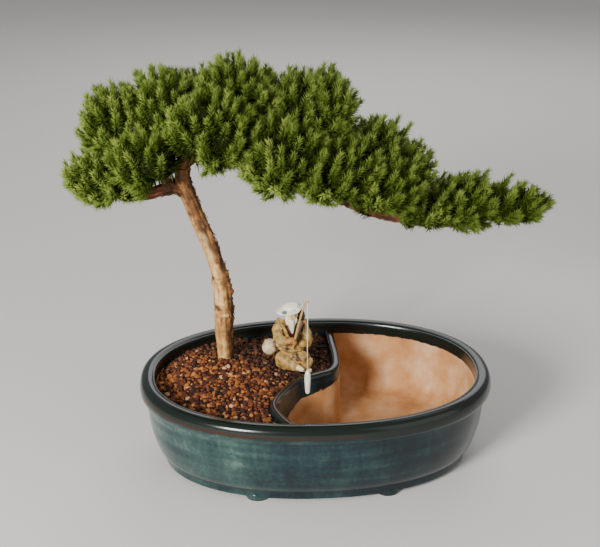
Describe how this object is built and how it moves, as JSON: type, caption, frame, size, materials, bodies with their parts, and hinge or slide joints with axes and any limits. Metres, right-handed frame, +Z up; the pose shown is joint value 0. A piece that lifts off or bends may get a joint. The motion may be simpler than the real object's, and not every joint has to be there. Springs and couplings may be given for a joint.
{
  "type": "japanese garden juniper bonsai",
  "caption": "Semi-cascade garden juniper bonsai in an oval glazed land-and-water pot with a seated clay fisherman, rod, line and fish.",
  "frame": {"origin": "centre of the whole's box on the table that the pot's feet stand on", "axes": "+X to the right along the oval pot's length, the way the cascade reaches, +Y to the back, +Z up"},
  "size_m": [0.3772, 0.2092, 0.3186],
  "materials": {
    "glazed_stoneware": "gloss, mottled teal green breaking to reddish brown, bare clay inside the basin",
    "screen_mesh": "matte",
    "gravel": "matte, mixed grains",
    "bark": "matte, flaking",
    "foliage": "matte, living needles",
    "figure_clay": "satin glaze over bare clay skin",
    "rod_cane": "satin",
    "thread": "matte",
    "fish_clay": "gloss"
  },
  "bodies": {
    "root": {"pot": "glazed_stoneware", "drain_screen_1": "screen_mesh", "drain_screen_2": "screen_mesh", "soil": "gravel", "wood": "bark", "foliage_left_low": "foliage", "foliage_left_top": "foliage", "foliage_left_front": "foliage", "foliage_crown_left": "foliage", "foliage_crown_front": "foliage", "foliage_crown_back": "foliage", "foliage_apex": "foliage", "foliage_crown_right": "foliage", "foliage_middle_front": "foliage", "foliage_middle_back": "foliage", "foliage_right_rise": "foliage", "foliage_right_low": "foliage", "foliage_shoulder": "foliage", "foliage_shoulder_front": "foliage", "foliage_step": "foliage", "foliage_tail_low": "foliage", "foliage_tail_rise": "foliage", "foliage_tail_tip": "foliage", "fisherman": "figure_clay", "rod": "rod_cane", "line": "thread", "fish": "fish_clay"}
  },
  "joints": []
}
